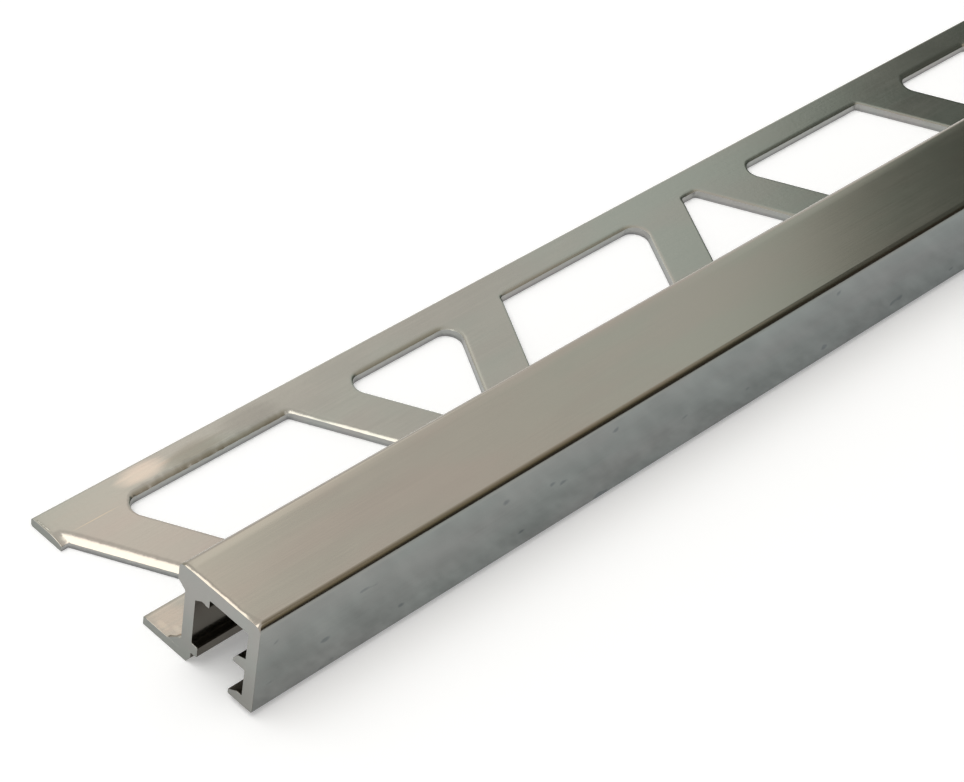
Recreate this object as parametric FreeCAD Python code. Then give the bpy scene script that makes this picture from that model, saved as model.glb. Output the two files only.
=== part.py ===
"""Square edge trim for tiled corners: one aluminium extrusion with a punched anchoring leg.

The section is an open square channel on the end of a flat leg. The top and front of the channel
stay visible beside the tiles. The leg lies in the adhesive under the tile, which grips it through one
row of punched holes: the bars between them lean in pairs, so that parallelogram and wedge-shaped
holes follow each other. Inside the channel a rib, a hook, a barb and a bottom lip hold the tongues
of joiners and corner pieces.

Frame, in millimetres: X runs along the trim from its middle, Y runs from the visible front face
towards the leg's outer edge with zero half way, and Z is up from the leg's underside.
"""
import FreeCAD, Part
import math
import os

Vector = FreeCAD.Vector

# Main sizes
length = 1000.0
height = 12.5
body_width = 10.6
leg_reach = 23.4
leg_thickness = 1.1
web_wall = 1.5
top_wall = 1.9
front_wall = 1.55
front_gap = 0.7

# Lip that spaces the tile off the web
lip_reach = 1.1
lip_depth = 2.45
lip_taper = 0.85

# Bottom lip of the front wall
bottom_lip_reach = 1.95
bottom_lip_tip = 0.6
bottom_lip_shoulder = 0.8
bottom_lip_height = 1.25

# Barb half way up the inside of the front wall
barb_level = 5.5
barb_reach = 1.7
barb_tip = 0.4
barb_shoulder = 1.15
barb_shoulder_rise = 1.2
barb_root = 1.6

# Rib and thickened corner under the top, beside the web
rib_offset = 3.5
rib_width = 0.65
rib_drop = 1.1
corner_groove = 1.0
corner_drop = 1.55
corner_ramp = 0.9

# Hook at the foot of the web
hook_level = 1.7
hook_height = 1.35
hook_reach = 0.9
heel_chamfer = 0.6
heel_height = 0.9

# Radii of the section's corners
groove_radius = 0.08
edge_radius = 0.15
soft_radius = 0.3
ridge_radius = 0.45
visible_radius = 1.2

# Punched holes in the leg. The bars lean in pairs, one pair each way, so parallelogram holes come
# between the two bars of a pair and wedge-shaped ones between pairs.
outer_strip = 3.9
inner_strip = 5.6
bar_width = 6.3
bar_lean = 30.0
punch_pitch = 50.0
wedge_tip = 2.7
first_bar = 8.0
acute_radius = 1.8
obtuse_radius = 0.6

# Where the web's tile side comes when the whole width is centred on Y
tile_face = (body_width - leg_reach) / 2

# The row of holes, measured along X at the middle of their depth
hole_depth = leg_reach - outer_strip - inner_strip
lean_slope = math.tan(math.radians(bar_lean))
bar_along = bar_width / math.cos(math.radians(bar_lean))
wedge_step = wedge_tip + hole_depth * lean_slope + bar_along
pair_step = punch_pitch - wedge_step


def rounded_outline(corners, place):
    """A closed wire through (a, b, radius) corners, each rounded. place(a, b) gives a point in space."""
    points = [Vector(a, b, 0) for a, b, _ in corners]
    count = len(corners)
    arcs = []
    for i in range(count):
        before = (points[i - 1] - points[i]).normalize()
        after = (points[(i + 1) % count] - points[i]).normalize()
        half_angle = before.getAngle(after) / 2
        radius = corners[i][2]
        setback = radius / math.tan(half_angle)
        bisector = (before + after).normalize()
        middle = points[i] + bisector * (radius / math.sin(half_angle) - radius)
        arcs.append((points[i] + before * setback, middle, points[i] + after * setback))
    edges = []
    for i in range(count):
        start, middle, end = [place(p.x, p.y) for p in arcs[i]]
        edges.append(Part.Arc(start, middle, end).toShape())
        following = arcs[(i + 1) % count][0]
        edges.append(Part.LineSegment(end, place(following.x, following.y)).toShape())
    return Part.Wire(edges)


def section_corners():
    """The section's corners as (y, z, radius), from the leg's outer edge round to the heel of the web."""
    front = tile_face - body_width
    front_inside = front + front_wall
    web_inside = tile_face - web_wall
    leg_end = tile_face + leg_reach
    ceiling = height - top_wall
    lip_end = tile_face + lip_reach
    lip_nose = height - lip_depth
    rib_front = tile_face - rib_offset
    rib_back = rib_front + rib_width
    bottom_lip_end = front_inside + bottom_lip_reach
    barb_end = front_inside + barb_reach
    hook_end = web_inside - hook_reach

    leg = [
        (leg_end, 0, soft_radius),
        (leg_end, leg_thickness, soft_radius),
        (tile_face, leg_thickness, soft_radius),
    ]
    tile_lip = [
        (tile_face, lip_nose - lip_taper, soft_radius),
        (lip_end, lip_nose, ridge_radius),
        (lip_end, height, ridge_radius),
    ]
    visible_faces = [
        (front, height, visible_radius),
        (front, front_gap, edge_radius),
    ]
    bottom_lip = [
        (bottom_lip_end, front_gap, edge_radius),
        (bottom_lip_end, front_gap + bottom_lip_tip, edge_radius),
        (front_inside + bottom_lip_shoulder, front_gap + bottom_lip_height, edge_radius),
        (front_inside, front_gap + bottom_lip_height, edge_radius),
    ]
    barb = [
        (front_inside, barb_level, edge_radius),
        (barb_end, barb_level, edge_radius),
        (barb_end, barb_level + barb_tip, edge_radius),
        (front_inside + barb_shoulder, barb_level + barb_shoulder_rise, edge_radius),
        (front_inside, barb_level + barb_root, edge_radius),
    ]
    ceiling_and_rib = [
        (front_inside, ceiling, soft_radius),
        (rib_front, ceiling, edge_radius),
        (rib_front, ceiling - rib_drop, edge_radius),
        (rib_back, ceiling - rib_drop, edge_radius),
        (rib_back, ceiling - corner_groove, groove_radius),
        (web_inside - corner_ramp, ceiling - corner_groove, groove_radius),
        (web_inside, ceiling - corner_drop, edge_radius),
    ]
    hook = [
        (web_inside, hook_level + hook_height, edge_radius),
        (hook_end, hook_level + hook_height, edge_radius),
        (hook_end, hook_level, edge_radius),
        (web_inside, hook_level, edge_radius),
    ]
    heel = [
        (web_inside, heel_height, edge_radius),
        (web_inside + heel_chamfer, 0, edge_radius),
    ]
    return leg + tile_lip + visible_faces + bottom_lip + barb + ceiling_and_rib + hook + heel


def extruded_profile():
    """The plain bar: the section drawn at the near end and run along the whole length."""
    near_end = -length / 2
    outline = rounded_outline(section_corners(), lambda y, z: Vector(near_end, y, z))
    return Part.Face(outline).extrude(Vector(length, 0, 0))


def bars():
    """(x at mid-depth, slope) of every bar, from one before the near end to one past the far end."""
    x = -length / 2 + first_bar - wedge_step
    slope = -lean_slope
    found = [(x, slope)]
    while x < length / 2:
        ends_pair = len(found) % 2 == 1
        x += wedge_step if ends_pair else pair_step
        slope = -slope if ends_pair else slope
        found.append((x, slope))
    return found


def hole_corners(left_bar, right_bar):
    """The four rounded corners, as (x, y, radius), of the hole between two neighbouring bars."""
    middle = tile_face + inner_strip + hole_depth / 2

    def corner(bar, side, rise):
        x, slope = bar
        radius = acute_radius if side * rise * slope > 0 else obtuse_radius
        return x + side * bar_along / 2 - rise * slope, middle + rise, radius

    inner, outer = -hole_depth / 2, hole_depth / 2
    return [
        corner(left_bar, 1, inner),
        corner(right_bar, -1, inner),
        corner(right_bar, -1, outer),
        corner(left_bar, 1, outer),
    ]


def punch_tools():
    """One prism for each hole, a little deeper than the leg on both sides."""
    overrun = leg_thickness
    row = bars()
    tools = []
    for left_bar, right_bar in zip(row, row[1:]):
        outline = rounded_outline(hole_corners(left_bar, right_bar), lambda x, y: Vector(x, y, -overrun))
        tools.append(Part.Face(outline).extrude(Vector(0, 0, leg_thickness + 2 * overrun)))
    return tools


def trim_profile():
    """The finished trim: extruded, then punched."""
    return extruded_profile().cut(punch_tools())


def main():
    os.makedirs("parts", exist_ok=True)
    trim = trim_profile()
    solid = trim.Solids[0]
    print("solids", len(trim.Solids), "valid", trim.isValid(), "volume", round(solid.Volume, 1))
    print("centre of mass", [round(c, 2) for c in solid.CenterOfMass], "faces", len(solid.Faces))
    solid.exportStep("parts/trim_profile.step")


main()
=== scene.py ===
"""Looks of the square tile edge trim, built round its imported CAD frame.

One mesh stands for the CAD node. It has the same section, drawn with finer rounds, and the same
punched leg, with the rims of the holes rolled over where the punch went in and the edges of the sawn
ends broken. The trim's sizes are in millimetres and become metres when its mesh is made. Those of
the finishes and the stage are in metres.
"""
import bmesh
import bpy
import math
import random
from mathutils import Matrix, Vector


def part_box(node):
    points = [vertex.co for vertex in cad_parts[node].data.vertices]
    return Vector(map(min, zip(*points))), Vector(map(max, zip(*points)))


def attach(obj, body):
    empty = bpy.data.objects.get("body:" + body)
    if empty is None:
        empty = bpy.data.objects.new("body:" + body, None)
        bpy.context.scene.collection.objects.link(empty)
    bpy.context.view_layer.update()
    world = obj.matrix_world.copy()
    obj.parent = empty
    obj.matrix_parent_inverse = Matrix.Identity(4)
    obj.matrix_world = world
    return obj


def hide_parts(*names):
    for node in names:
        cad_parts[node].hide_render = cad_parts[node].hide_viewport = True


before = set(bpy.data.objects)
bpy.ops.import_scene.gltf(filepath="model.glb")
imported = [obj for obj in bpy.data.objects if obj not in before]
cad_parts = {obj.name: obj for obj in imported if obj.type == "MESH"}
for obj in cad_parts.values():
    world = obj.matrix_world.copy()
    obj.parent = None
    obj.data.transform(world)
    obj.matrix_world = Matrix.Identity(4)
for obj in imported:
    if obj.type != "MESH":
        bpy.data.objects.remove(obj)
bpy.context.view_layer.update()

NODE = "trim_profile"
MM = 0.001
UP = Vector((0, 0, 1))

# Sizes taken from the frame
low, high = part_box(NODE)
length = (high.x - low.x) / MM
height = high.z / MM
front = low.y / MM
leg_end = high.y / MM

# The section
body_width = 10.6
leg_thickness = 1.1
web_wall = 1.5
top_wall = 1.9
front_wall = 1.55
front_gap = 0.7
lip_reach = 1.1
lip_depth = 2.45
lip_taper = 0.85
bottom_lip_reach = 1.95
bottom_lip_tip = 0.6
bottom_lip_shoulder = 0.8
bottom_lip_height = 1.25
barb_level = 5.5
barb_reach = 1.7
barb_tip = 0.4
barb_shoulder = 1.15
barb_shoulder_rise = 1.2
barb_root = 1.6
rib_offset = 3.5
rib_width = 0.65
rib_drop = 1.1
corner_groove = 1.0
corner_drop = 1.55
corner_ramp = 0.9
hook_level = 1.7
hook_height = 1.35
hook_reach = 0.9
heel_chamfer = 0.6
heel_height = 0.9
groove_radius = 0.08
edge_radius = 0.15
soft_radius = 0.3
ridge_radius = 0.45

# Where the web's tile side comes
tile_face = front + body_width

# The visible corner and the top's back ridge, rounded as their reflections in the photo show them.
# The top falls a little towards the ridge, in one long faint bend.
visible_radius = 0.82
soft_ridge_radius = 0.85
top_fall_reach = 1.5
top_fall = 0.08
top_fall_radius = 12.0

# The punched holes
outer_strip = 3.9
inner_strip = 5.6
bar_width = 6.3
bar_lean = 30.0
punch_pitch = 50.0
wedge_tip = 2.7
first_bar = 8.0
acute_radius = 1.8
obtuse_radius = 0.6

# The punch rolled the leg's top over at the rims of the holes. All round a hole, at a direction in
# degrees from +X as seen from the hole: the roll's width and depth.
rim_rolls = [
    (-30, 0.65, 0.08),
    (0, 0.65, 0.1),
    (24, 0.9, 0.19),
    (40, 0.9, 0.19),
    (85, 0.95, 0.21),
    (95, 0.95, 0.21),
    (118, 0.5, 0.06),
    (150, 0.35, 0.03),
    (210, 0.3, 0.03),
    (270, 0.6, 0.08),
    (330, 0.65, 0.08),
]
rim_power = 2.3
rim_rings = 8
burr_break = 0.05

# Between two directions the roll gets shallower towards the leg's outer edge, by a share
fading_sector = (15, 75)
fading_share = 0.36

# The first hole, which the end cuts, is rolled more between two directions
end_rim_sector = (0, 60)
end_rim_width = 1.45
end_rim_depth = 0.36

# How strongly the holes are rolled, by number, and the random span of the rest. The roll's width
# follows by a power.
rim_wear = {0: 1.0, 1: 1.0, 2: 0.75, 3: 0.5, 4: 0.42, 5: 0.42}
rim_wear_span = (0.5, 0.9)
rim_width_wear = 0.35

# The first holes' outlines run in short steps, so that their rolls blend into each other. Two of
# them are also uneven, by a share, except between two directions.
blended_holes = 6
rim_step = 0.4
rim_blend = 1.2
unevenness = {0: 0.05, 1: 0.2}
smooth_sector = (38, 88)
seed = 8

# The saw broke the ends' edges, each by a length along the trim and a depth: most along the top and
# at the visible corner, little elsewhere. The waves, as (share, rate, turn), make it uneven.
end_break_small = (0.05, 0.012)
end_break_top = (0.42, 0.12)
end_break_front = (0.8, 0.1)
end_front_reach = 2.4
end_break_power = 2.0
end_break_waves = ((0.1, 1.9, 0.4), (0.07, 4.7, 2.0))
end_rings = 6
end_step = 0.4

# The burr it left on the leg at the near end, between two places given as (x from the end, y). Its
# spans are random shares of its width or height, its shoulder is a fixed share of both, and its ends
# keep a share of its swell.
burr_start = (0.22, 13.7)
burr_stop = (0.24, 16.4)
burr_width = 0.18
burr_height = 0.12
burr_step = 0.22
burr_root = 0.01
burr_inset = 0.01
burr_sway = (-0.35, 0.35)
burr_half_width = (0.4, 0.8)
burr_rise = (0.2, 1.0)
burr_crest = (0.1, 0.6)
burr_shoulder = (0.5, 0.4)
burr_ends = 0.15

# The flap it dragged over the corner of the leg and the web, as (y, z) from that corner
smear_inset = 0.004
smear_thickness = 0.4
smear_corners = [(-0.1, -0.1), (2.0, -0.1), (1.95, 0.04), (1.3, 0.5), (0.6, 1.08), (-0.1, 1.5)]

# Mesh density
station_step = 25.0
end_stations = (1.5, 6.0)
fine_turn = math.radians(7.4)
coarse_turn = math.radians(30)
coarse_radius = 0.2
fewest_steps = 2
fewest_bend_steps = 4
weld_distance = 1e-4
cut_tolerance = 1e-5
cut_margin = 1e-3

# Material numbers on the mesh, and the section's corners between which the show face lies
SHOW, MILL, SHEAR, SAWN = range(4)
show_corners = (5, 8)

# The finishes by their numbers: name, colour, roughness, anisotropy, strength of the brushing,
# mottling and strength of the dimples
finishes = [
    ("satin_show_face", (0.35, 0.317, 0.267), 0.14, 0.4, 0.12, 0.02, 0.0),
    ("mill_finish", (0.36, 0.347, 0.303), 0.18, 0.4, 0.25, 0.03, 0.16),
    ("sheared_wall", (0.36, 0.36, 0.345), 0.4, 0.0, 0.5, 0.06, 0.3),
    ("sawn_end", (0.345, 0.345, 0.326), 0.45, 0.0, 0.15, 0.03, 0.3),
]
roughness_spread = (0.85, 1.15)
bump_depth = 0.00002

# Noise patterns: stretch along X, Y and Z, scale, detail and roughness
grain_pattern = ((12, 900, 900), 5.0, 3.0, 0.6)
mottle_pattern = ((40, 90, 90), 3.0, 3.0, 0.55)
drift_pattern = ((45, 160, 160), 1.0, 2.0, 0.5)
dimple_pattern = ((1, 1, 1), 2200.0, 2.0, 0.5)
light_spot_pattern = ((150, 2500, 900), 1.0, 3.0, 0.6)
speck_pattern = ((0.6, 1, 1), 480.0, 1.0, 0.5)
tear_pattern = ((1, 1, 1), 1500.0, 2.0, 0.5)
coarse_weave = ((1, 1.6, 1), 260.0, 2.0, 0.5)
fine_weave = ((1, 1.6, 1), 900.0, 1.0, 0.5)

# The parts of those patterns that show, and the hues that the metal drifts between
tone_span = (0.35, 0.65)
tone_roughness_span = (0.3, 0.7)
drift_span = (0.38, 0.62)
drift_hues = ((1.012, 0.99, 0.99, 1), (0.985, 1.006, 1.0, 1))

# Painted highlights and painted shade on spots of the leg near the cut end, which isn't quite flat
# there and catches more or less light, in millimetres: x, y, reach along x and y, and gain. They fade
# over a span of the distance and stay below a level.
painted_leg_light = [
    (-486.6, 15.4, 4.2, 1.5, (1.5, 1.35, 1.3)),
    (-480.0, 14.6, 5.5, 1.5, (0.76, 0.74, 0.71)),
    (-472.0, 15.0, 5.0, 2.0, (0.84, 0.83, 0.83)),
    (-494.8, 12.86, 3.6, 0.1, (1.2, 1.12, 1.02)),
    (-498.3, -3.3, 3.0, 3.5, (1.2, 1.1, 1.06)),
    (-492.0, 6.0, 22.0, 14.0, (1.09, 1.01, 1.0)),
    (-499.3, -2.9, 0.5, 1.0, (1.1, 1.09, 1.07)),
    (-498.5, -4.3, 0.5, 0.7, (1.12, 1.11, 1.1)),
    (-499.0, -5.2, 0.7, 0.4, (0.5, 0.4, 0.33)),
]
light_spot_raggedness = 0.6
light_spot_fade = (0.3, 1.3)
light_spot_level = (0.0013, 0.0015)

# Dark specks on the front
speck_span = (0.71, 0.77)
speck_level = (0.0105, 0.0115)
speck_strength = 0.45
speck_color = (0.1, 0.1, 0.1, 1)

# The torn lower part of the holes' walls, and painted shade on the lower part of the sawn end
torn_unevenness = 0.0002
torn_level = (0.0004, 0.00065)
torn_tint = (0.8, 0.8, 0.82, 1)
sawn_shade_level = (0.0, 0.011)
sawn_shade_tint = (0.76, 0.77, 0.76, 1)

# The dark end of the room: a card across the trim's run, and one above it. The dark side's glow is
# given by (y, level), and its pattern leans with the height about a pivot.
end_wall_x = 1.6
end_wall_span = (-1.2, 1.6)
near_part_x = -0.45
dark_side_rise = (-0.1, 2.2)
dark_side_levels = [
    (1.56, 0.98), (1.48, 0.94), (1.40, 0.87), (1.347, 0.81), (1.31, 0.74), (1.265, 0.49),
    (1.235, 0.42), (1.199, 0.33), (1.15, 0.255), (1.12, 0.21), (1.08, 0.19), (0.9, 0.14),
]
dark_side_tilt = 0.565
dark_side_pivot = 1.5
upper_side_middle = 3.3
upper_side_height = 2.2
upper_side_colors = [
    (1.6, (1.0, 1.0, 1.0)), (1.29, (0.9, 0.89, 0.86)), (0.88, (0.75, 0.73, 0.67)),
    (0.44, (0.62, 0.59, 0.52)), (-0.1, (0.5, 0.47, 0.4)), (-0.63, (0.42, 0.38, 0.31)),
    (-1.2, (0.34, 0.3, 0.22)),
]

# The other cards, with the stops of their glow along one of their own axes
dark_corner = {
    "centre": (end_wall_x, -2.6, 1.65), "facing": (near_part_x, -2.6, 1.65),
    "width": 3.6, "depth": 3.5, "along": "Y",
    "stops": [
        (0.0, (0.05, 0.045, 0.035)), (0.457, (0.055, 0.05, 0.038)), (0.53, (0.08, 0.075, 0.05)),
        (0.617, (0.15, 0.135, 0.09)), (0.743, (0.29, 0.26, 0.17)), (0.83, (0.38, 0.34, 0.25)),
        (1.0, (0.45, 0.41, 0.32)),
    ],
}
bright_side = {
    "centre": (0.75, 2.1, 1.75), "facing": (near_part_x, 0.0, 0.0),
    "width": 1.5, "depth": 1.3,
    "stops": [
        (0.0, (0.72, 0.73, 0.7)), (0.5, (0.82, 0.83, 0.8)), (0.7, (1.3, 1.3, 1.27)),
        (0.8, (1.6, 1.6, 1.56)), (0.92, (1.05, 1.05, 1.04)), (1.0, (0.98, 0.98, 0.98)),
    ],
}
back_side = {
    "centre": (-1.5, 3.2, 1.9), "facing": (-1.5, 0.0, 1.9),
    "width": 5.0, "depth": 4.0,
    "stops": [
        (0.0, (0.66, 0.69, 0.63)), (0.75, (0.7, 0.72, 0.67)), (1.0, (0.85, 0.86, 0.82)),
    ],
}

# The grey mat in front, whose glow stands in for the light on it: how its glow rises away from the
# trim, a painted shadow of the trim, and falls along it, the painted shade that is left of it under the
# channel, how much its weave shows, and its hues under the channel and in front
mat_corners = ((-0.4999, -2.0), (2.5, -0.008))
mat_level = 0.0006
mat_shadow_reach, mat_shadow_rise = (0.0, 0.01), (0.5, 0.93)
mat_run_reach, mat_run = (-0.52, -0.36), (1.02, 0.84)
channel_shade_edge = (-0.0008, 0.0002)
channel_shade_level = 0.38
weave_shares = (0.55, 0.3)
weave_base = 0.575
mat_hues = ((1.05, 1.0, 0.98, 1), (0.82, 0.935, 1.03, 1))

# The floor and the surroundings, which glow a little more for the camera and in reflections
floor_size = 16
floor_color = (0.93, 0.93, 0.93)
floor_glow = 0.26
world_light = 0.4
world_glow = 0.6

# The lamp
lamp_size = (1.9, 2.1)
lamp_energy = 26
lamp_color = (1.0, 0.993, 0.968)
lamp_place = (-1.0, 0.35, 2.0)
lamp_target = (-0.4, 0, 0)

# Camera, fitted to the photograph's edges, in millimetres from the near bottom front corner
eye_from_corner = Vector((-136.6, -129.0, 206.5))
eye_azimuth = 51.75
eye_down = 40.54
eye_roll = -9.89
lens = 105.94
sensor = 36.0


def arc_points(before, corner, after, radius):
    """Points of the arc that rounds a corner between two neighbouring corners of an outline."""
    to_before = (before - corner).normalized()
    to_after = (after - corner).normalized()
    half_angle = to_before.angle(to_after) / 2
    turn = math.pi - 2 * half_angle
    centre = corner + (to_before + to_after).normalized() * (radius / math.sin(half_angle))
    start = corner + to_before * (radius / math.tan(half_angle)) - centre
    side = math.copysign(1, to_before.x * to_after.y - to_before.y * to_after.x)
    fewest = fewest_bend_steps if radius == top_fall_radius else fewest_steps
    steps = max(fewest, math.ceil(turn / (coarse_turn if radius < coarse_radius else fine_turn)))
    turns = [-side * turn * i / steps for i in range(steps + 1)]
    return [centre + Matrix.Rotation(angle, 2) @ start for angle in turns]


def rounded(corners):
    """One list of arc points for each (a, b, radius) corner of a closed outline."""
    spots = [Vector((a, b)) for a, b, _ in corners]
    following = spots[1:] + spots[:1]
    return [
        arc_points(spots[i - 1], spots[i], following[i], radius)
        for i, (_, _, radius) in enumerate(corners)
    ]


def section_corners():
    """The section's corners as (y, z, radius), from the leg's outer edge to the heel of the web."""
    front_inside = front + front_wall
    web_inside = tile_face - web_wall
    ceiling = height - top_wall
    lip_end = tile_face + lip_reach
    lip_nose = height - lip_depth
    rib_front = tile_face - rib_offset
    rib_back = rib_front + rib_width
    bottom_lip_end = front_inside + bottom_lip_reach
    barb_end = front_inside + barb_reach
    hook_end = web_inside - hook_reach
    leg = [
        (leg_end, 0, soft_radius),
        (leg_end, leg_thickness, soft_radius),
        (tile_face, leg_thickness, soft_radius),
    ]
    tile_lip = [
        (tile_face, lip_nose - lip_taper, soft_radius),
        (lip_end, lip_nose, ridge_radius),
        (lip_end, height - top_fall, soft_ridge_radius),
        (lip_end - top_fall_reach, height, top_fall_radius),
    ]
    visible_faces = [
        (front, height, visible_radius),
        (front, front_gap, edge_radius),
    ]
    bottom_lip = [
        (bottom_lip_end, front_gap, edge_radius),
        (bottom_lip_end, front_gap + bottom_lip_tip, edge_radius),
        (front_inside + bottom_lip_shoulder, front_gap + bottom_lip_height, edge_radius),
        (front_inside, front_gap + bottom_lip_height, edge_radius),
    ]
    barb = [
        (front_inside, barb_level, edge_radius),
        (barb_end, barb_level, edge_radius),
        (barb_end, barb_level + barb_tip, edge_radius),
        (front_inside + barb_shoulder, barb_level + barb_shoulder_rise, edge_radius),
        (front_inside, barb_level + barb_root, edge_radius),
    ]
    ceiling_and_rib = [
        (front_inside, ceiling, soft_radius),
        (rib_front, ceiling, edge_radius),
        (rib_front, ceiling - rib_drop, edge_radius),
        (rib_back, ceiling - rib_drop, edge_radius),
        (rib_back, ceiling - corner_groove, groove_radius),
        (web_inside - corner_ramp, ceiling - corner_groove, groove_radius),
        (web_inside, ceiling - corner_drop, edge_radius),
    ]
    hook = [
        (web_inside, hook_level + hook_height, edge_radius),
        (hook_end, hook_level + hook_height, edge_radius),
        (hook_end, hook_level, edge_radius),
        (web_inside, hook_level, edge_radius),
    ]
    heel = [
        (web_inside, heel_height, edge_radius),
        (web_inside + heel_chamfer, 0, edge_radius),
    ]
    return leg + tile_lip + visible_faces + bottom_lip + barb + ceiling_and_rib + hook + heel


def punched_holes():
    """Every hole's four corners as (x, y, radius), from before the near end to past the far end."""
    depth = leg_end - tile_face - outer_strip - inner_strip
    slope = math.tan(math.radians(bar_lean))
    along = bar_width / math.cos(math.radians(bar_lean))
    wedge_step = wedge_tip + depth * slope + along
    pair_step = punch_pitch - wedge_step
    x, lean = -length / 2 + first_bar - wedge_step, -slope
    bars = [(x, lean)]
    while x < length / 2:
        ends_pair = len(bars) % 2 == 1
        x += wedge_step if ends_pair else pair_step
        lean = -lean if ends_pair else lean
        bars.append((x, lean))
    holes = []
    middle = tile_face + inner_strip + depth / 2
    for left, right in zip(bars, bars[1:]):
        corners = []
        for (bar_x, bar_slope), side, rise in (
            (left, 1, -depth / 2),
            (right, -1, -depth / 2),
            (right, -1, depth / 2),
            (left, 1, depth / 2),
        ):
            radius = acute_radius if side * rise * bar_slope > 0 else obtuse_radius
            corners.append((bar_x + side * along / 2 - rise * bar_slope, middle + rise, radius))
        holes.append(corners)
    return holes


def grown(corners, by):
    """The outline of a hole grown outwards by a distance: its sides move out and its rounds open up."""
    spots = [Vector((a, b)) for a, b, _ in corners]
    count = len(spots)
    moved = []
    for i in range(count):
        to_before = (spots[i - 1] - spots[i]).normalized()
        to_after = (spots[(i + 1) % count] - spots[i]).normalized()
        half_angle = to_before.angle(to_after) / 2
        away = -(to_before + to_after).normalized() * (by / math.sin(half_angle))
        place = spots[i] + away
        moved.append((place.x, place.y, corners[i][2] + by))
    return moved


def hole_outline(corners):
    """(point, direction away from the hole) pairs all round a hole."""
    edge = [p for arc in rounded(corners) for p in arc]
    wide = [p for arc in rounded(grown(corners, 1.0)) for p in arc]
    return [(p, q - p) for p, q in zip(edge, wide)]


def finer(edge, step):
    """The same outline with its straight runs cut into short steps."""
    pieces = []
    for (p, a), (q, b) in zip(edge, edge[1:] + edge[:1]):
        count = max(1, round((q - p).length / step))
        pieces += [(p.lerp(q, i / count), a.lerp(b, i / count)) for i in range(count)]
    return pieces


def smooth(t):
    """The smooth step from 0 to 1 of a share between them."""
    return t * t * (3 - 2 * t)


def degrees_of(direction):
    """A direction's angle from +X."""
    return math.degrees(math.atan2(direction.y, direction.x))


def between(value, span):
    """Whether a value lies inside a span."""
    return span[0] < value < span[1]


def rim_roll(direction):
    """Width and depth of the rolled rim on the side of a hole that lies in a direction."""
    first = rim_rolls[0][0]
    angle = (degrees_of(direction) - first) % 360 + first
    for (a, *here), (b, *there) in zip(rim_rolls, rim_rolls[1:]):
        if angle <= b:
            share = smooth((angle - a) / (b - a))
            return [u + (v - u) * share for u, v in zip(here, there)]
    return rim_rolls[-1][1:]


def blended(edge, rolls, reach):
    """The rolls, each averaged with those within reach of it."""
    points = [point for point, _ in edge]
    spacing = [(q - p).length for p, q in zip(points[-1:] + points[:-1], points[1:] + points[:1])]
    result = []
    for here in points:
        shares = []
        for there, gap in zip(points, spacing):
            shares.append(max(0.0, 1 - (there - here).length / reach) * gap)
        whole = sum(shares)
        result.append([sum(s * size for s, size in zip(shares, sizes)) / whole for sizes in zip(*rolls)])
    return result


def join_rings(bm, upper, lower, material):
    """Faces between two rings of as many vertices."""
    count = len(upper)
    for i in range(count):
        j = (i + 1) % count
        face = bm.faces.new((upper[i], upper[j], lower[j], lower[i]))
        face.material_index = material


def sweep(bm, arcs, stations):
    """The section's skin along the stations, open over the leg's top and bottom, and its open edges."""
    show_first, show_last = show_corners
    rows = []
    for x in stations:
        rows.append([[bm.verts.new((x, p.x, p.y)) for p in arc] for arc in arcs])
    count = len(arcs)
    open_spans = (1, count - 1)
    for here, there in zip(rows, rows[1:]):
        for k in range(count):
            shown = show_first <= k <= show_last
            for i in range(len(arcs[k]) - 1):
                face = bm.faces.new((here[k][i], here[k][i + 1], there[k][i + 1], there[k][i]))
                face.material_index = SHOW if shown else MILL
            if k in open_spans:
                continue
            n = (k + 1) % count
            face = bm.faces.new((here[k][-1], here[n][0], there[n][0], there[k][-1]))
            face.material_index = SHOW if show_first <= k < show_last else MILL
    top_outer = [row[1][-1] for row in rows]
    top_inner = [row[2][0] for row in rows]
    bottom_inner = [row[-1][-1] for row in rows]
    bottom_outer = [row[0][0] for row in rows]
    return top_outer, top_inner, bottom_inner, bottom_outer


def loop_edges(bm, verts):
    """The edges of a closed loop of vertices, made where they don't exist yet."""
    edges = []
    for a, b in zip(verts, verts[1:] + verts[:1]):
        edges.append(bm.edges.get((a, b)) or bm.edges.new((a, b)))
    return edges


def fill(bm, edges, normal, material):
    """A flat face within its edges, in triangles."""
    made = bmesh.ops.triangle_fill(bm, use_beauty=True, use_dissolve=False, edges=edges, normal=normal)
    for item in made["geom"]:
        if isinstance(item, bmesh.types.BMFace):
            item.material_index = material


def fill_round_holes(bm, outer, holes, normal, material):
    """A flat face with holes in it."""
    edges = loop_edges(bm, outer)
    for hole in holes:
        edges += loop_edges(bm, hole)
    fill(bm, edges, normal, material)


def rim(number, corners, seeded):
    """A hole's outline as (point, direction away from the hole) pairs, and (width, depth) of its roll
    at each."""
    edge = hole_outline(corners)
    wear = rim_wear.get(number, seeded.uniform(*rim_wear_span))
    if number < blended_holes:
        edge = finer(edge, rim_step)
    inner, outer = corners[0][1], corners[2][1]
    rolls = []
    for point, away in edge:
        width, depth = rim_roll(away)
        direction = degrees_of(away)
        if number == 0 and between(direction, end_rim_sector):
            width, depth = end_rim_width, end_rim_depth
        elif between(direction, fading_sector):
            depth *= 1 - fading_share * (point.y - inner) / (outer - inner)
        rolls.append([width * wear ** rim_width_wear, depth * wear])
    if number < blended_holes:
        rolls = blended(edge, rolls, rim_blend)
    ragged = unevenness.get(number, 0.0)
    for roll, (_, away) in zip(rolls, edge):
        uneven = [seeded.uniform(-ragged, ragged) for _ in roll]
        if not between(degrees_of(away), smooth_sector):
            roll[:] = [size * (1 + change) for size, change in zip(roll, uneven)]
    return edge, rolls


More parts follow.
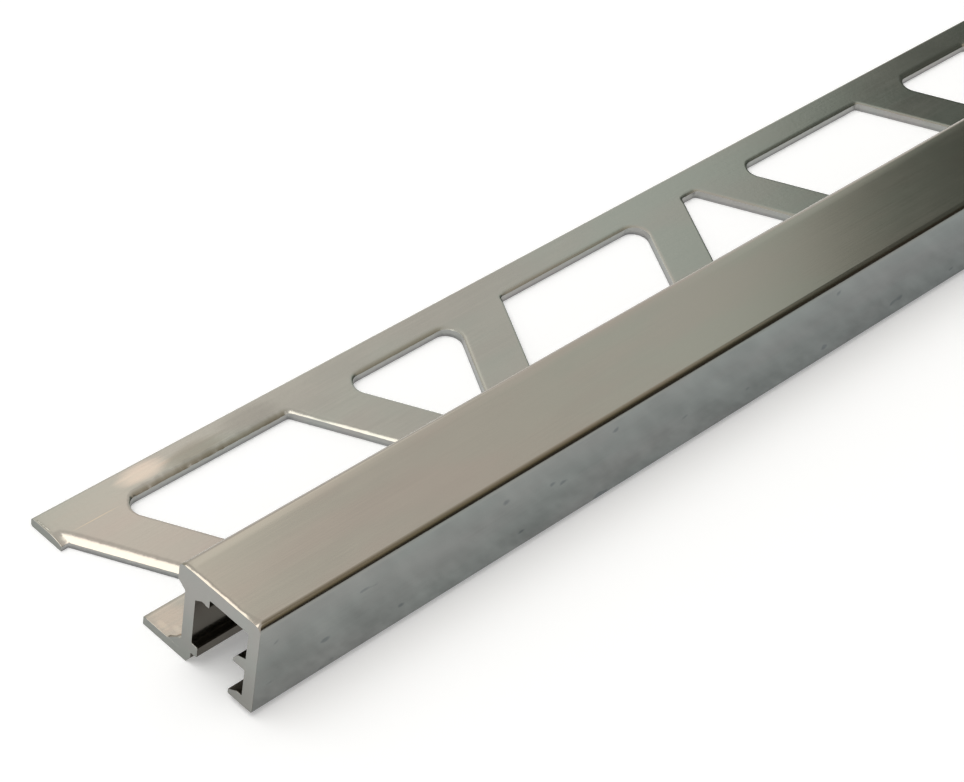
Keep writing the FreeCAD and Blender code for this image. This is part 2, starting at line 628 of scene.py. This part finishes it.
def hole_walls(bm, edge, rolls):
    """The rolled rim and the wall of a hole. Gives its rings on the leg's top and underside."""
    rings = []
    for i in range(rim_rings + 1):
        share = i / rim_rings
        verts = []
        for (point, away), (width, depth) in zip(edge, rolls):
            place = point + away * width * (1 - share)
            verts.append(bm.verts.new((place.x, place.y, leg_thickness - depth * share ** rim_power)))
        rings.append(verts)
    rings.append([bm.verts.new((point.x, point.y, burr_break)) for point, _ in edge])
    broken = [point + away * burr_break for point, away in edge]
    rings.append([bm.verts.new((point.x, point.y, 0)) for point in broken])
    for i in range(len(rings) - 1):
        join_rings(bm, rings[i], rings[i + 1], MILL if i < rim_rings else SHEAR)
    for crease in loop_edges(bm, rings[rim_rings]):
        crease.smooth = False
    return rings[0], rings[-1]


def punched_leg(bm, open_edges, seeded):
    """The leg's top and bottom faces, with the walls and rolled rims of the holes between them."""
    top_outer, top_inner, bottom_inner, bottom_outer = open_edges
    top_holes, bottom_holes = [], []
    for number, corners in enumerate(punched_holes()):
        top_ring, bottom_ring = hole_walls(bm, *rim(number, corners, seeded))
        top_holes.append(top_ring)
        bottom_holes.append(bottom_ring)
    fill_round_holes(bm, top_outer + top_inner[::-1], top_holes, UP, MILL)
    fill_round_holes(bm, bottom_outer + bottom_inner[::-1], bottom_holes, -UP, MILL)


def waviness(waves, at):
    """A factor round 1 that sways with (share, rate, turn) waves."""
    return 1 + sum(size * math.sin(at * rate + turn) for size, rate, turn in waves)


def end_break(spot, inward):
    """How far the saw's break of an end runs along the trim and how deep it goes, at a spot of the
    section whose surface faces away from inward."""
    on_top = spot.z > height - visible_radius and spot.y < tile_face + lip_reach
    share = max(0.0, -inward.z) ** 3 if on_top else 0.0
    past_corner = (spot.y - front - visible_radius) / end_front_reach
    fronted = smooth(max(0.0, min(1.0, 1 - past_corner)))
    wavy = waviness(end_break_waves, spot.y)
    sizes = []
    for small, top, corner in zip(end_break_small, end_break_top, end_break_front):
        large = top + (corner - top) * fronted
        sizes.append((small + (large - small) * share) * wavy)
    return sizes


def cut_edges(bm, cut_x):
    """The open edges that a saw cut left."""
    open_edges = [edge for edge in bm.edges if edge.is_boundary]
    return [e for e in open_edges if all(abs(v.co.x - cut_x) < cut_margin for v in e.verts)]


def saw_end(bm, side):
    """Saws an end off square, breaks its edges and closes it. side is -1 at the near end, else 1."""
    end_x = side * length / 2
    cut_x = end_x - side * end_break_front[0] * (1 + sum(size for size, _, _ in end_break_waves))
    everything = list(bm.verts) + list(bm.edges) + list(bm.faces)
    bmesh.ops.bisect_plane(
        bm, geom=everything, dist=cut_tolerance, clear_outer=True,
        plane_co=(cut_x, 0, 0), plane_no=(side, 0, 0),
    )
    for edge in cut_edges(bm, cut_x):
        cuts = int(edge.calc_length() / end_step)
        if cuts:
            bmesh.ops.subdivide_edges(bm, edges=[edge], cuts=cuts)
    cut = cut_edges(bm, cut_x)
    finish = {edge: edge.link_faces[0].material_index for edge in cut}
    inward = {}
    for edge in cut:
        normal = edge.link_faces[0].normal.copy()
        normal.x = 0
        for vert in edge.verts:
            inward[vert] = inward.get(vert, Vector()) - normal.normalized()
    for direction in inward.values():
        direction.normalize()
    shape = {vert: end_break(vert.co, direction) for vert, direction in inward.items()}
    places = {vert: vert.co.copy() for vert in inward}
    last = {vert: vert for vert in inward}
    for i in range(end_rings + 1):
        fresh = {}
        for vert, place in places.items():
            run, drop = shape[vert]
            place = place + inward[vert] * drop * (i / end_rings) ** end_break_power
            place.x = end_x - side * run * (1 - i / end_rings)
            fresh[vert] = bm.verts.new(place)
        for edge in cut:
            a, b = edge.verts
            face = bm.faces.new((last[a], last[b], fresh[b], fresh[a]))
            face.material_index = finish[edge]
        last = fresh
    edges = [bm.edges.get([last[vert] for vert in edge.verts]) for edge in cut]
    for edge in edges:
        edge.smooth = False
    fill(bm, edges, (side, 0, 0), SAWN)


def burr(bm, seeded):
    """A ragged closed ridge of metal along a line on the leg's top."""
    near_end = -length / 2
    start, stop = [Vector((near_end + x, y)) for x, y in (burr_start, burr_stop)]
    run = stop - start
    across = Vector((-run.y, run.x)).normalized()
    count = round(run.length / burr_step)
    foot = leg_thickness - burr_root
    rows = []
    for i in range(count + 1):
        swell = max(burr_ends, abs(math.sin(math.pi * i / count)) ** 0.5)
        middle = start + run * (i / count) + across * burr_width * seeded.uniform(*burr_sway)
        half = burr_width * swell * seeded.uniform(*burr_half_width)
        top = leg_thickness + burr_height * swell * seeded.uniform(*burr_rise)
        crest = -half * seeded.uniform(*burr_crest)
        out, up = burr_shoulder
        shoulder = (half * out, top * up + leg_thickness * (1 - up))
        row = []
        for shift, z in ((-half, foot), (crest, top), shoulder, (half, foot)):
            place = middle + across * shift
            row.append(bm.verts.new((max(place.x, near_end + burr_inset), place.y, z)))
        rows.append(row)
    for here, there in zip(rows, rows[1:]):
        join_rings(bm, here, there, MILL)
    bm.faces.new(rows[0][::-1]).material_index = MILL
    bm.faces.new(rows[-1]).material_index = MILL


def smear(bm):
    """The thin flap of metal that the saw dragged over the corner of the leg and the web."""
    rows = []
    for x in (-length / 2 + smear_inset, -length / 2 + smear_thickness):
        rows.append([bm.verts.new((x, tile_face + y, leg_thickness + z)) for y, z in smear_corners])
    bm.faces.new(rows[0]).material_index = SAWN
    bm.faces.new(rows[1][::-1]).material_index = MILL
    join_rings(bm, *rows, MILL)
    for edge in loop_edges(bm, rows[0]) + loop_edges(bm, rows[1]):
        edge.smooth = False


def trim_mesh():
    """The whole trim as one closed mesh, in metres."""
    bm = bmesh.new()
    reach = length / 2 + station_step
    count = round(2 * reach / station_step)
    stations = [-reach + i * station_step for i in range(count + 1)]
    past = reach + punch_pitch
    ends = [side * (length / 2 - inset) for side in (-1, 1) for inset in end_stations]
    stations = sorted([-past] + stations + [past] + ends)
    seeded = random.Random(seed)
    punched_leg(bm, sweep(bm, rounded(section_corners()), stations), seeded)
    for side in (-1, 1):
        saw_end(bm, side)
    bmesh.ops.remove_doubles(bm, verts=bm.verts, dist=weld_distance)
    burr(bm, seeded)
    smear(bm)
    bmesh.ops.recalc_face_normals(bm, faces=bm.faces)
    for face in bm.faces:
        face.smooth = True
    bmesh.ops.scale(bm, vec=(MM, MM, MM), verts=bm.verts)
    mesh = bpy.data.meshes.new("edge_trim")
    bm.to_mesh(mesh)
    bm.free()
    return mesh


class Nodes:
    """A short way to write a node tree."""

    def __init__(self, tree):
        self.tree = tree

    def add(self, kind, inputs=None, **settings):
        node = self.tree.nodes.new(kind)
        for key, value in settings.items():
            setattr(node, key, value)
        for key, value in (inputs or {}).items():
            self.put(node.inputs[key], value)
        return node

    def put(self, socket, value):
        if isinstance(value, bpy.types.NodeSocket):
            self.tree.links.new(value, socket)
        else:
            socket.default_value = value

    def math(self, operation, a, b, clamp=False):
        node = self.add("ShaderNodeMath", operation=operation, use_clamp=clamp)
        self.put(node.inputs[0], a)
        self.put(node.inputs[1], b)
        return node.outputs[0]

    def mix(self, factor, a, b, blend="MIX"):
        node = self.add("ShaderNodeMix", data_type="RGBA", blend_type=blend)
        self.put(node.inputs["Factor"], factor)
        self.put(node.inputs[6], a)
        self.put(node.inputs[7], b)
        return node.outputs[2]

    def tinted(self, paint, tint):
        """The paint multiplied by a tint."""
        return self.mix(1.0, paint, tint, "MULTIPLY")

    def span(self, value, ends_in, ends_out=(0.0, 1.0), interpolation="SMOOTHSTEP"):
        """A value led from one span over to another, and held at its ends."""
        node = self.add("ShaderNodeMapRange", {"Value": value}, interpolation_type=interpolation)
        keys = ("From Min", "From Max", "To Min", "To Max")
        for key, number in zip(keys, (*ends_in, *ends_out)):
            node.inputs[key].default_value = number
        return node.outputs[0]

    def pattern(self, place, stretch, scale, detail, rough):
        """A noise pattern, stretched along the axes."""
        mapped = self.add("ShaderNodeMapping", {"Scale": stretch, "Vector": place})
        node = self.add("ShaderNodeTexNoise", {"Scale": scale, "Detail": detail, "Roughness": rough})
        self.put(node.inputs["Vector"], mapped.outputs["Vector"])
        return node.outputs["Fac"]

    def axes(self, place):
        return self.add("ShaderNodeSeparateXYZ", {"Vector": place}).outputs

    def coordinates(self, kind="Object"):
        return self.add("ShaderNodeTexCoord").outputs[kind]


def new_material(name):
    """A material, its nodes and its shader."""
    material = bpy.data.materials.new(name)
    material.use_nodes = True
    return material, Nodes(material.node_tree), material.node_tree.nodes["Principled BSDF"]


def placed(name, data):
    """A new object in the scene."""
    item = bpy.data.objects.new(name, data)
    bpy.context.scene.collection.objects.link(item)
    return item


def paint_light_spot(nodes, place, paint, x, y, reach_x, reach_y, gain):
    """Paints a highlight or shade round one spot of the leg's top. Sizes in millimetres."""
    axes = nodes.axes(place)
    off_x = nodes.math("DIVIDE", nodes.math("SUBTRACT", axes["X"], x * MM), reach_x * MM)
    off_y = nodes.math("DIVIDE", nodes.math("SUBTRACT", axes["Y"], y * MM), reach_y * MM)
    off = nodes.math("ADD", nodes.math("MULTIPLY", off_x, off_x), nodes.math("MULTIPLY", off_y, off_y))
    ragged = nodes.math("MULTIPLY", nodes.pattern(place, *light_spot_pattern), light_spot_raggedness)
    near = nodes.span(nodes.math("ADD", off, ragged), light_spot_fade, (1.0, 0.0))
    on_leg = nodes.span(axes["Z"], light_spot_level, (1.0, 0.0))
    return nodes.mix(nodes.math("MULTIPLY", near, on_leg), paint, nodes.tinted(paint, (*gain, 1)))


def leg_painted_light(nodes, place, paint):
    """Painted highlights and painted shade where the leg isn't quite flat near the cut end and catches
    more or less of the light.
    """
    for spot in painted_leg_light:
        paint = paint_light_spot(nodes, place, paint, *spot)
    return paint


def show_tone(nodes, place, paint):
    """A few dark specks on the front."""
    speck = nodes.span(nodes.pattern(place, *speck_pattern), speck_span)
    on_front = nodes.span(nodes.axes(place)["Z"], speck_level, (speck_strength, 0.0))
    return nodes.mix(nodes.math("MULTIPLY", speck, on_front), paint, speck_color)


def shear_tone(nodes, place, paint):
    """The punch sheared the upper part of the walls smooth and tore the lower part, which is darker."""
    uneven = nodes.math("MULTIPLY", nodes.pattern(place, *tear_pattern), torn_unevenness)
    level = nodes.math("ADD", nodes.axes(place)["Z"], uneven)
    return nodes.mix(nodes.span(level, torn_level), nodes.tinted(paint, torn_tint), paint)


def sawn_painted_shade(nodes, place, paint):
    """Painted shade: the sawn end is a little darker low down, towards the floor."""
    level = nodes.axes(place)["Z"]
    return nodes.mix(nodes.span(level, sawn_shade_level), nodes.tinted(paint, sawn_shade_tint), paint)


def metal(name, color, roughness, anisotropy, brushing, mottle, dimples, marks_and_painted_light):
    """Brushed metal: fine grain along the trim, faint mottling and a slight drift of hue."""
    material, nodes, shader = new_material(name)
    shader.inputs["Metallic"].default_value = 1.0
    shader.inputs["Anisotropic"].default_value = anisotropy
    place = nodes.coordinates()
    grain = nodes.pattern(place, *grain_pattern)
    broad = nodes.pattern(place, *mottle_pattern)
    tone = nodes.math("ADD", nodes.math("MULTIPLY", grain, 0.5), nodes.math("MULTIPLY", broad, 0.5))
    dark, light = [(*[c * gain for c in color], 1) for gain in (1 - mottle, 1 + mottle)]
    paint = nodes.mix(nodes.span(tone, tone_span), dark, light)
    drift = nodes.span(nodes.pattern(place, *drift_pattern), drift_span)
    paint = nodes.tinted(paint, nodes.mix(drift, *drift_hues))
    # Each finish's own marks, and on the leg and the sawn end painted highlights and painted shade
    nodes.put(shader.inputs["Base Color"], marks_and_painted_light(nodes, place, paint))
    rough_ends = [roughness * share for share in roughness_spread]
    nodes.put(shader.inputs["Roughness"], nodes.span(tone, tone_roughness_span, rough_ends))
    bump = nodes.add("ShaderNodeBump", {"Strength": brushing, "Distance": bump_depth, "Height": grain})
    if dimples:
        brushed = bump.outputs["Normal"]
        pits = nodes.pattern(place, *dimple_pattern)
        bump = nodes.add("ShaderNodeBump", {"Strength": dimples, "Distance": bump_depth, "Height": pits})
        nodes.put(bump.inputs["Normal"], brushed)
    nodes.put(shader.inputs["Normal"], bump.outputs["Normal"])
    if anisotropy:
        tangent = nodes.add("ShaderNodeTangent", direction_type="RADIAL", axis="X")
        nodes.put(shader.inputs["Tangent"], tangent.outputs["Tangent"])
    return material


def make_trim():
    """The trim's object, with its finishes, in place of the CAD node."""
    trim = placed("edge_trim", trim_mesh())
    # The front's specks and the walls' torn part are marks; the leg's spots and the sawn end's darker
    # foot are painted light and shade
    for finish, marks_and_painted_light in zip(finishes, (show_tone, leg_painted_light, shear_tone, sawn_painted_shade)):
        trim.data.materials.append(metal(*finish, marks_and_painted_light))
    weighted = trim.modifiers.new("even_shading", "WEIGHTED_NORMAL")
    weighted.mode = "FACE_AREA_WITH_ANGLE"
    weighted.weight = 100
    weighted.keep_sharp = True
    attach(trim, "root")
    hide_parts(NODE)
    return trim


def rectangle(name, corners):
    """A flat object with four corners."""
    mesh = bpy.data.meshes.new(name)
    mesh.from_pydata(corners, [], [(0, 1, 2, 3)])
    return placed(name, mesh)


def plane(name, centre, facing, width, depth):
    """A flat rectangle that faces a point. Its own Y axis is upright, or along X where it lies flat."""
    w, d = width / 2, depth / 2
    item = rectangle(name, [(-w, -d, 0), (w, -d, 0), (w, d, 0), (-w, d, 0)])
    item.location = centre
    item.rotation_mode = "QUATERNION"
    item.rotation_quaternion = (Vector(facing) - Vector(centre)).to_track_quat("Z", "Y")
    return item


def seen_by_eye(nodes):
    """1 for the camera and in reflections, 0 where a surface is lit."""
    path = nodes.add("ShaderNodeLightPath").outputs
    seen = nodes.math("ADD", path["Is Camera Ray"], path["Is Glossy Ray"])
    return nodes.math("ADD", seen, path["Is Transmission Ray"], clamp=True)


def make_floor():
    """A pale floor at the level of the leg's underside, which reads as white where no shadow falls."""
    floor = plane("floor", (0, 0, 0), (0, 0, 1), floor_size, floor_size)
    material, nodes, shader = new_material("pale_floor")
    shader.inputs["Base Color"].default_value = (*floor_color, 1)
    shader.inputs["Roughness"].default_value = 0.9
    shader.inputs["Specular IOR Level"].default_value = 0.0
    shader.inputs["Emission Color"].default_value = (1, 1, 1, 1)
    glow = nodes.math("MULTIPLY", seen_by_eye(nodes), floor_glow)
    nodes.put(shader.inputs["Emission Strength"], glow)
    floor.data.materials.append(material)
    return floor


def glow_in_reflections(card):
    """Makes a card glow in reflections and nowhere else. Gives its nodes and the glow's node."""
    material, nodes, shader = new_material(card.name)
    nodes.tree.nodes.remove(shader)
    glow = nodes.add("ShaderNodeEmission")
    nodes.put(nodes.tree.nodes["Material Output"].inputs["Surface"], glow.outputs[0])
    card.data.materials.append(material)
    card.visible_camera = False
    card.visible_diffuse = False
    card.visible_shadow = False
    card.visible_transmission = False
    card.visible_volume_scatter = False
    return nodes, glow


def glowing_card(name, centre, facing, width, depth, stops, along="X", lean=0.0, pivot=0.0):
    """A card whose glow runs through (place, colour) stops along one of its own axes. lean shifts
    them with the height above or below the pivot."""
    card = plane(name, centre, facing, width, depth)
    nodes, glow = glow_in_reflections(card)
    axes = nodes.axes(nodes.coordinates("Generated"))
    along_card = axes[along]
    if lean:
        shift = nodes.math("MULTIPLY", nodes.math("SUBTRACT", axes["Y"], pivot), lean)
        along_card = nodes.math("ADD", along_card, shift)
    ramp = nodes.add("ShaderNodeValToRGB", {"Fac": along_card})
    while len(ramp.color_ramp.elements) < len(stops):
        ramp.color_ramp.elements.new(0.5)
    for element, (position, color) in zip(ramp.color_ramp.elements, stops):
        element.position = position
        element.color = (*color, 1)
    nodes.put(glow.inputs["Color"], ramp.outputs["Color"])
    return card


def make_mat():
    """A grey mat in front of the trim, seen only in reflections. Its glow, which stands in for the light
    on it, is a fine cool weave, with a painted shadow close to the trim that stands over it and painted
    shade under the channel."""
    (x_low, y_low), (x_high, y_high) = mat_corners
    outline = [(x_low, y_low), (x_high, y_low), (x_high, y_high), (x_low, y_high)]
    mat = rectangle("grey_mat", [(x, y, mat_level) for x, y in outline])
    nodes, glow = glow_in_reflections(mat)
    place = nodes.coordinates()
    axes = nodes.axes(place)
    # Painted shadow of the trim: the glow is dimmer close to the front and painted dark under the
    # channel
    away = nodes.math("SUBTRACT", front * MM, axes["Y"])
    rise = nodes.span(away, mat_shadow_reach, mat_shadow_rise, "LINEAR")
    run = nodes.span(axes["X"], mat_run_reach, mat_run)
    clear = nodes.span(away, channel_shade_edge)
    under = nodes.math("ADD", nodes.math("MULTIPLY", clear, 1 - channel_shade_level), channel_shade_level)
    shade = nodes.math("MULTIPLY", nodes.math("MULTIPLY", rise, run), under)
    coarse, fine = [
        nodes.math("MULTIPLY", nodes.pattern(place, *weave), share)
        for weave, share in zip((coarse_weave, fine_weave), weave_shares)
    ]
    cloth = nodes.math("ADD", nodes.math("ADD", coarse, fine), weave_base)
    nodes.put(glow.inputs["Strength"], nodes.math("MULTIPLY", shade, cloth))
    nodes.put(glow.inputs["Color"], nodes.mix(clear, *mat_hues))
    return mat


def dark_side_color(level):
    """The glow of the room's dark side, which is a little olive, the more so the darker it is."""
    return (0.87 + 0.05 * level) * level, level, (0.9 + 0.1 * level) * level


def make_cards():
    """What the metal reflects: the room's dark end and corner, its brighter sides and a grey mat."""
    y_low, y_high = end_wall_span
    width, middle = y_high - y_low, (y_high + y_low) / 2

    def wall(name, z, tall, colors, **pattern):
        """A card across the far end, with a glow given by (y, colour)."""
        centre, facing = (end_wall_x, middle, z), (near_part_x, middle, z)
        stops = [((y_high - y) / width, color) for y, color in colors]
        return glowing_card(name, centre, facing, width, tall, stops, **pattern)

    bottom, top = dark_side_rise
    tall = top - bottom
    dark = [(y, dark_side_color(level)) for y, level in dark_side_levels]
    lean, pivot = -dark_side_tilt * tall / width, (dark_side_pivot - bottom) / tall
    return [
        wall("dark_side", top - tall / 2, tall, dark, lean=lean, pivot=pivot),
        wall("upper_side", upper_side_middle, upper_side_height, upper_side_colors),
        glowing_card("dark_corner", **dark_corner),
        glowing_card("bright_side", **bright_side),
        glowing_card("back_side", **back_side),
        make_mat(),
    ]


def make_light():
    """Even pale surroundings and one large soft lamp."""
    world = bpy.data.worlds.new("studio")
    bpy.context.scene.world = world
    world.use_nodes = True
    nodes = Nodes(world.node_tree)
    background = world.node_tree.nodes["Background"]
    background.inputs["Color"].default_value = (1, 1, 1, 1)
    glow = nodes.math("MULTIPLY", seen_by_eye(nodes), world_glow)
    nodes.put(background.inputs["Strength"], nodes.math("ADD", glow, world_light))
    lamp = bpy.data.lights.new("softbox", "AREA")
    lamp.shape = "RECTANGLE"
    lamp.size, lamp.size_y = lamp_size
    lamp.energy = lamp_energy
    lamp.color = lamp_color
    softbox = placed("softbox", lamp)
    softbox.location = lamp_place
    softbox.rotation_mode = "QUATERNION"
    softbox.rotation_quaternion = (Vector(lamp_place) - Vector(lamp_target)).to_track_quat("Z", "Y")


def make_camera():
    """The photograph's camera, set by its place, direction and roll."""
    corner = Vector((-length / 2, front, 0))
    eye = (corner + eye_from_corner) * MM
    azimuth, down = math.radians(eye_azimuth), math.radians(eye_down)
    level = math.cos(down)
    ahead = Vector((math.sin(azimuth) * level, math.cos(azimuth) * level, -math.sin(down)))
    right = ahead.cross(UP).normalized()
    right = Matrix.Rotation(math.radians(eye_roll), 3, ahead) @ right
    up = right.cross(ahead)
    camera = placed("camera", bpy.data.cameras.new("camera"))
    camera.matrix_world = Matrix.Translation(eye) @ Matrix((right, up, -ahead)).transposed().to_4x4()
    camera.data.sensor_width = sensor
    camera.data.lens = lens
    camera.data.clip_start = 0.01
    camera.data.clip_end = 50
    bpy.context.scene.camera = camera


make_trim()
make_floor()
make_cards()
make_light()
make_camera()
bpy.context.scene.view_settings.view_transform = "Standard"
